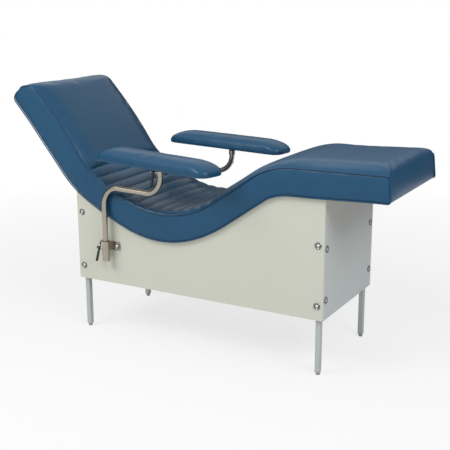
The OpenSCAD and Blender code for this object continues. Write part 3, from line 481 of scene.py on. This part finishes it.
def buildMattress():
    # a closed net: rounds across the course, and rows of its own for the foot end's face
    m = mattress
    rows, columns, baseColumns = m["bandRows"], m["topColumns"], m["baseColumns"]
    verts, faces, held, seatShadeMask = [], [], [], []

    def addVert(place, hold, seatShadeStrength=0.0):
        verts.append(place)
        held.append(hold)
        seatShadeMask.append(seatShadeStrength)
        return len(verts) - 1

    rounds = []
    stations = mattressStations()
    for s in stations:
        top, low, wide, full = sectionFrame(s)
        atEnd = s in (stations[0], stations[-1])
        recess = m["shell"] if m["shellStart"] < s < courseEnd - m["noseLen"] / 2 else 0.0
        row = []
        for side in (-1, 1):
            for k in range(rows + 1):
                v = k / rows if side < 0 else 1 - k / rows
                puff = m["bulge"] * full * (1 - abs(2 * v - 1) ** 2.2) - bandPull(s, v)
                row.append(addVert(placeAt(s, side * (wide + puff), low - (low - top) * v),
                                   1.0 if atEnd or v in (0.0, 1.0) else 0.0))
            if side > 0:
                break
            nearest = round((s - m["firstChannel"]) / m["pitch"])
            onStitch = 0 <= nearest <= m["channels"] \
                and abs(s - m["firstChannel"] - nearest * m["pitch"]) < 1e-6
            # painted shade over the quilted seat, fading out towards the side seams
            along = smoothStep(*[m["firstChannel"] + r for r in m["seatShadeStart"]], s) \
                * (1 - smoothStep(*[channelEnd + r for r in m["seatShadeEnd"]], s))
            for k in range(1, columns):
                y = acrossTop(wide, k)
                fromSeam = wide - abs(y)
                row.append(addVert(placeAt(s, y, topDepth(s, fromSeam, top, full)),
                                   1.0 if onStitch or atEnd else 0.0,
                                   m["seatShadeStrength"] * along * smoothStep(0.0, m["seatShadeEdge"], fromSeam)))
        inner = wide if atEnd else wide - m["hem"]
        if atEnd:
            base = [(acrossTop(wide, columns - k), low) for k in range(1, columns)]
        else:
            base = [(inner * (1 - 2 * k / baseColumns), low - recess)
                    for k in range(1, baseColumns)]
        base = [(inner, low), (inner, low - recess)] + base + [(-inner, low - recess), (-inner, low)]
        row += [addVert(placeAt(s, y, depth), 1.0) for y, depth in base]
        rounds.append(row)
    shared = 2 * rows + columns + 3  # the points that every round has, up to the base's first corner
    for a, b in zip(rounds, rounds[1:]):
        for k in range(shared - 1):
            faces.append((a[k], a[k + 1], b[k + 1], b[k]))
        perA, perB = [(len(r) - shared - 1) // baseColumns for r in (a, b)]
        for k in range(baseColumns):
            faces.append(tuple([a[shared - 1 + k * perA + j] for j in range(perA + 1)]
                               + [b[shared - 1 + k * perB + j] for j in range(perB, -1, -1)]))
        faces.append((a[-2], a[-1], b[-1], b[-2]))
        faces.append((a[-1], a[0], b[0], b[-1]))
    # the foot end's face, from the rolled top edge down to the lower edge
    top, low, wide, full = sectionFrame(0.0)
    first = rounds[0]
    above = first[rows:rows + columns + 1]
    for j in range(1, rows + 1):
        below = [first[rows - j]]
        for k in range(1, columns):
            y, u = acrossTop(wide, k), j / rows
            start = topDepth(0.0, wide - abs(y), top, full)
            out = m["faceBulge"] * math.sin(math.pi * u) ** 0.7 * (1 - abs(y / wide) ** 6)
            below.append(addVert(placeAt(-out, y, start + (low - start) * u), 1.0))
        below.append(first[rows + columns + j])
        for k in range(columns):
            faces.append((above[k], above[k + 1], below[k + 1], below[k]))
        above = below
    obj = meshObject("mattressUpholstery", verts, faces)
    group = obj.vertex_groups.new(name="held")
    for i, hold in enumerate(held):
        if hold:
            group.add([i], hold, "REPLACE")
    # the painted seat shade is kept on the points for the material
    layer = obj.data.attributes.new("seatShadeMask", "FLOAT", "POINT")
    layer.data.foreach_set("value", seatShadeMask)
    finishMesh(obj)
    return obj


clothLook = {
    "pressure": 4.0, "frames": 20, "quality": 5, "tension": 40.0, "bending": 6.0, "mass": 0.3,
    "slack": -0.004,
}


def swellOut(obj, limit):
    # the cover blown out against its seams, each point eased to stay inside the limit
    start = [v.co.copy() for v in obj.data.vertices]
    cloth = obj.modifiers.new("fill", "CLOTH")
    look = cloth.settings
    look.quality = clothLook["quality"]
    look.mass = clothLook["mass"]
    look.tension_stiffness = look.compression_stiffness = clothLook["tension"]
    look.bending_stiffness = clothLook["bending"]
    look.use_pressure = True
    look.uniform_pressure_force = clothLook["pressure"]
    look.vertex_group_mass = "held"
    look.shrink_min = clothLook["slack"]
    look.effector_weights.gravity = 0
    cloth.collision_settings.use_collision = False
    cloth.point_cache.frame_start = 1
    cloth.point_cache.frame_end = clothLook["frames"]
    scene = bpy.context.scene
    for number in range(1, clothLook["frames"] + 1):
        scene.frame_set(number)
    swollen = obj.evaluated_get(bpy.context.evaluated_depsgraph_get()).to_mesh()
    moves = [v.co - a for v, a in zip(swollen.vertices, start)]
    obj.evaluated_get(bpy.context.evaluated_depsgraph_get()).to_mesh_clear()
    obj.modifiers.remove(cloth)
    scene.frame_set(1)
    furthest = max(m.length for m in moves)
    for v, a, move in zip(obj.data.vertices, start, moves):
        far = move.length
        if far > 1e-9:
            v.co = a + move * (limit * (1 - math.exp(-far / limit)) / far)
    print(obj.name, "swelled by up to", round(furthest * 1000, 1), "mm, kept to", limit * 1000)


mattressCover = buildMattress()
swellOut(mattressCover, mattress["swell"])
smooth = mattressCover.modifiers.new("smooth", "SUBSURF")
smooth.levels = smooth.render_levels = 1
applyModifier(mattressCover, smooth)
mattressCover.data.materials.append(blueVinyl)
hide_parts("mattress_cover", "foam_core")
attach(mattressCover, "chair")
print("mattress:", len(mattressCover.data.polygons), "faces")


def bandOutline(side):
    # the welt round one side band: along the top seam, over the nose, back under and up
    m = mattress
    last = courseEnd - m["noseLen"]
    step, turns = m["weltStep"], m["noseSteps"]
    places = [m["weltStart"]] + [step * i for i in range(1, int(last / step))]
    places += [courseEnd - m["noseLen"] * (1 - math.sin(math.pi / 2 * k / turns))
               for k in range(turns + 1)]
    upper, lower = [], []
    for s in places:
        top, low, wide, full = sectionFrame(s)
        y = side * (wide + m["cordRise"])
        upper.append(placeAt(s, y, top - m["cordRise"]))
        lower.append(placeAt(s, y, low + m["cordRise"] * m["weltSink"]))
    top, low, wide, full = sectionFrame(0.0)
    steps = m["cornerSteps"]
    corner = [placeAt(-m["cornerRise"], side * (wide + m["cornerRise"]),
                      low + (top - low) * (k + 0.5) / steps) for k in range(steps)]
    return upper + lower[::-1] + corner


for side, name in ((-1, "rightBandWelt"), (1, "leftBandWelt")):
    welt = weltAlong(name, bandOutline(side), mattress["welt"])
    welt.data.materials.append(shadedWeltVinyl)
    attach(welt, "chair")
print("mattress welts made")


pad = {
    "length": 0.642, "width": 0.135, "height": 0.056, "corner": 0.046, "band": 0.013,
    "side": 0.062, "end": 0.112, "sideCurve": 2.5, "endCurve": 1.9, "board": 0.010,
    "hem": 0.006, "shift": 0.020, "crownRounds": 14, "arcSteps": 8, "alongSteps": 34,
    "acrossSteps": 4, "welt": 0.0017, "weltOut": 0.0006, "weltUp": 0.0003, "swell": 0.0025,
    "skirtRise": 0.0025, "skirtBulge": 0.0010, "skirtShares": (0.0, 0.25, 0.5, 0.75, 1.0),
    "seamGap": 0.0002, "underEdge": 0.0030, "underInset": 0.0008, "underRise": 0.0012,
    "fill": 0.85,
}
padPlaces = {
    "right": {"pivot": (-0.08024, -0.29624, 0.802), "turn": -12.0},
    "left": {"pivot": (-0.07927, 0.30882, 0.796), "turn": -8.0},
}


def padRound(endInset, inset, z, blunt):
    # a rounded oblong about the pad's middle, with the same points at every height
    halfL, halfW = pad["length"] / 2 - endInset, pad["width"] / 2 - inset
    r = min(halfW - 0.0003, pad["corner"] * (1 - blunt) + halfW * blunt)
    arcs = []
    for corner in range(4):
        sx, sy = (1 if corner in (0, 3) else -1), (1 if corner < 2 else -1)
        arcs.append([(sx * (halfL - r) + r * math.cos(math.radians(90 * (corner + t / pad["arcSteps"]))),
                      sy * (halfW - r) + r * math.sin(math.radians(90 * (corner + t / pad["arcSteps"]))))
                     for t in range(pad["arcSteps"] + 1)])
    line = []
    for corner, arc in enumerate(arcs):
        line += arc
        onward, steps = arcs[(corner + 1) % 4][0], (pad["alongSteps"], pad["acrossSteps"])[corner % 2]
        line += [tuple(a + (b - a) * k / steps for a, b in zip(arc[-1], onward))
                 for k in range(1, steps)]
    return [(x, y, z) for x, y in line]


def padRounds():
    p = pad
    inside = p["hem"] + p["seamGap"]
    rounds = [(inside, inside, p["board"], 0), (p["hem"], p["hem"], 0.0, 0),
              (p["underEdge"], p["underEdge"], 0.0, 0),
              (p["underInset"], p["underInset"], p["underRise"], 0)]
    for v in p["skirtShares"]:
        out = -p["skirtBulge"] * math.sin(math.pi * v)
        rounds.append((out, out, p["skirtRise"] + (p["band"] - p["skirtRise"]) * v, 0))
    for k in range(1, p["crownRounds"] + 1):
        rise = math.sin(math.pi / 2 * k / p["crownRounds"]) ** (2 / p["sideCurve"])
        inset = p["side"] * (1 - max(0.0, 1 - rise ** p["sideCurve"]) ** (1 / p["sideCurve"]))
        endInset = p["end"] * (1 - max(0.0, 1 - rise ** p["endCurve"]) ** (1 / p["endCurve"]))
        rounds.append((endInset, inset, p["band"] + rise * (p["height"] - p["band"]), rise ** 3))
    return [padRound(*r) for r in rounds]


def placeOnPad(side, point):
    place = padPlaces[side]
    a = math.radians(place["turn"])
    x, y = point[0] - pad["shift"], point[1]
    return (place["pivot"][0] + x * math.cos(a) - y * math.sin(a),
            place["pivot"][1] + x * math.sin(a) + y * math.cos(a),
            place["pivot"][2] + point[2])


def buildPad(side):
    rounds = padRounds()
    n = len(rounds[0])
    verts = [placeOnPad(side, p) for ring in rounds for p in ring]
    faces = []
    for i in range(len(rounds) - 1):
        for k in range(n):
            a, b = i * n + k, i * n + (k + 1) % n
            faces.append((a, b, b + n, a + n))
    faces.append(tuple(range(n)))
    last = (len(rounds) - 1) * n
    arc, along, across = pad["arcSteps"], pad["alongSteps"], pad["acrossSteps"]
    # the top is closed by a net between its two long sides
    front = [last + k for k in range(arc, arc + along + 1)]
    half = arc + across + arc
    back = [last + (arc + along + half + along - k) % n for k in range(along + 1)]
    for k in range(along):
        faces.append((front[k], front[k + 1], back[k + 1], back[k]))
    faces.append(tuple(last + k % n for k in range(arc + along, arc + along + half + 1)))
    faces.append(tuple(last + k % n for k in range(arc + 2 * along + half, n + arc + 1)))
    obj = meshObject(side + "PadUpholstery", verts, faces)
    group = obj.vertex_groups.new(name="held")
    group.add(list(range(9 * n)), 1.0, "REPLACE")
    finishMesh(obj)
    return obj


for side in ("right", "left"):
    upholstery = buildPad(side)
    swellOut(upholstery, pad["swell"])
    smooth = upholstery.modifiers.new("smooth", "SUBSURF")
    smooth.levels = smooth.render_levels = 1
    applyModifier(upholstery, smooth)
    upholstery.data.materials.append(blueVinyl)
    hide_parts(side + "_pad_cushion")
    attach(upholstery, side + "_pad")
    out = -pad["weltOut"]
    points = [placeOnPad(side, p) for p in padRound(out, out, pad["band"] + pad["weltUp"], 0)]
    welt = weltAlong(side + "PadWelt", points, pad["welt"])
    welt.data.materials.append(shadedWeltVinyl)
    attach(welt, side + "_pad")
print("armrest pads made")


studio = {
    "worldLight": 0.55, "worldColour": (0.93, 0.96, 1.0),
    "floorShare": (0.74, 1.0), "floorReach": (1.2, 3.4),
    "floorColour": (0.80, 0.80, 0.80), "floorRough": 0.9,
    "camera": (1.9338, -3.3164, 1.5090), "target": (0.0638, 0.0340, 0.5122),
    "focalPixels": 898.77, "roll": -0.104, "centre": (230.155, 222.645), "frame": 450,
    "softboxes": {
        "keySoftbox": ((-1.6, -2.8, 3.2), (0, 0, 0.5), (2.2, 1.6), 92.0, (1.0, 0.985, 0.95)),
        "fillSoftbox": ((3.0, -1.4, 3.0), (0.4, 0, 0.5), (1.6, 1.6), 60.0, (0.95, 0.98, 1.0)),
    },
    "screens": {  # dark cloths at the studio's sides, out of the picture
        "rightScreen": ((3.6, 0.6, 1.1), (0, 90, 0), (2.2, 5.5)),
        "leftScreen": ((-3.6, 0.6, 1.1), (0, 90, 0), (2.2, 5.5)),
        "backScreen": ((0, 3.6, 1.1), (90, 0, 0), (7.0, 2.2)),
    },
    "screenColour": (0.16, 0.16, 0.17),
}


def seenDirectly(tree):
    # 1 for the camera and for what polished metal mirrors
    path = addNode(tree, "ShaderNodeLightPath")
    first = addNode(tree, "ShaderNodeMath", operation="MAXIMUM")
    both = addNode(tree, "ShaderNodeMath", operation="MAXIMUM")
    tree.links.new(path.outputs["Is Camera Ray"], first.inputs[0])
    tree.links.new(path.outputs["Is Glossy Ray"], first.inputs[1])
    tree.links.new(first.outputs[0], both.inputs[0])
    tree.links.new(path.outputs["Is Transmission Ray"], both.inputs[1])
    return both.outputs[0]


def makeFloor():
    bpy.ops.mesh.primitive_plane_add(size=60.0, location=(0, 0, 0))
    floor = bpy.context.view_layer.objects.active
    floor.name = "studioFloor"
    mat, tree, bsdf = startMaterial("paleFloor")
    bsdf.inputs["Base Color"].default_value = (*studio["floorColour"], 1)
    bsdf.inputs["Roughness"].default_value = studio["floorRough"]
    glow = addNode(tree, "ShaderNodeEmission", {"Color": (1, 1, 1, 1), "Strength": 1.0})
    mix = addNode(tree, "ShaderNodeMixShader")
    place = addNode(tree, "ShaderNodeTexCoord").outputs["Object"]
    away = addNode(tree, "ShaderNodeVectorMath", operation="LENGTH")
    tree.links.new(place, away.inputs[0])
    share = addNode(tree, "ShaderNodeMath", operation="MULTIPLY")
    tree.links.new(seenDirectly(tree), share.inputs[0])
    tree.links.new(spread(tree, away.outputs["Value"], *studio["floorShare"], *studio["floorReach"]),
                   share.inputs[1])
    tree.links.new(share.outputs[0], mix.inputs[0])
    tree.links.new(bsdf.outputs[0], mix.inputs[1])
    tree.links.new(glow.outputs[0], mix.inputs[2])
    tree.links.new(mix.outputs[0], tree.nodes["Material Output"].inputs["Surface"])
    floor.data.materials.append(mat)


def makeScreens():
    mat, tree, bsdf = startMaterial("screenCloth")
    place = addNode(tree, "ShaderNodeTexCoord").outputs["Object"]
    bsdf.inputs["Base Color"].default_value = (*studio["screenColour"], 1)
    tree.links.new(spread(tree, noiseOn(tree, place, 200.0), 0.8, 0.95), bsdf.inputs["Roughness"])
    for name, (place, turn, size) in studio["screens"].items():
        bpy.ops.mesh.primitive_plane_add(size=1.0, location=place,
                                         rotation=[math.radians(t) for t in turn])
        screen = bpy.context.view_layer.objects.active
        screen.name = name
        screen.scale = (*size, 1)
        screen.visible_camera = False
        screen.data.materials.append(mat)


def makeWorld():
    world = bpy.data.worlds.new("paleWorld")
    bpy.context.scene.world = world
    world.use_nodes = True
    tree = world.node_tree
    soft = tree.nodes["Background"]
    soft.inputs["Color"].default_value = (*studio["worldColour"], 1)
    soft.inputs["Strength"].default_value = studio["worldLight"]
    white = addNode(tree, "ShaderNodeBackground", {"Color": (1, 1, 1, 1), "Strength": 1.0})
    mix = addNode(tree, "ShaderNodeMixShader")
    tree.links.new(seenDirectly(tree), mix.inputs[0])
    tree.links.new(soft.outputs[0], mix.inputs[1])
    tree.links.new(white.outputs[0], mix.inputs[2])
    tree.links.new(mix.outputs[0], tree.nodes["World Output"].inputs["Surface"])


def addSoftbox(name, place, target, size, power, colour):
    light = bpy.data.lights.new(name, "AREA")
    light.shape = "RECTANGLE"
    light.size, light.size_y = size
    light.energy = power
    light.color = colour
    obj = bpy.data.objects.new(name, light)
    bpy.context.scene.collection.objects.link(obj)
    obj.location = place
    obj.rotation_euler = (Vector(target) - Vector(place)).to_track_quat("-Z", "Y").to_euler()


def makeCamera():
    camera = bpy.data.cameras.new("photoCamera")
    obj = bpy.data.objects.new("photoCamera", camera)
    bpy.context.scene.collection.objects.link(obj)
    place, target = Vector(studio["camera"]), Vector(studio["target"])
    camera.sensor_width = 36.0
    camera.lens = studio["focalPixels"] / studio["frame"] * 36.0
    camera.shift_x = (studio["frame"] / 2 - studio["centre"][0]) / studio["frame"]
    camera.shift_y = (studio["centre"][1] - studio["frame"] / 2) / studio["frame"]
    obj.location = place
    obj.rotation_mode = "QUATERNION"
    obj.rotation_quaternion = ((target - place).to_track_quat("-Z", "Y")
                               @ Quaternion((0, 0, 1), math.radians(studio["roll"])))
    bpy.context.scene.camera = obj


makeFloor()
makeScreens()
makeWorld()
for name, settings in studio["softboxes"].items():
    addSoftbox(name, *settings)
makeCamera()
bpy.context.scene.view_settings.view_transform = "Standard"
print("studio made")
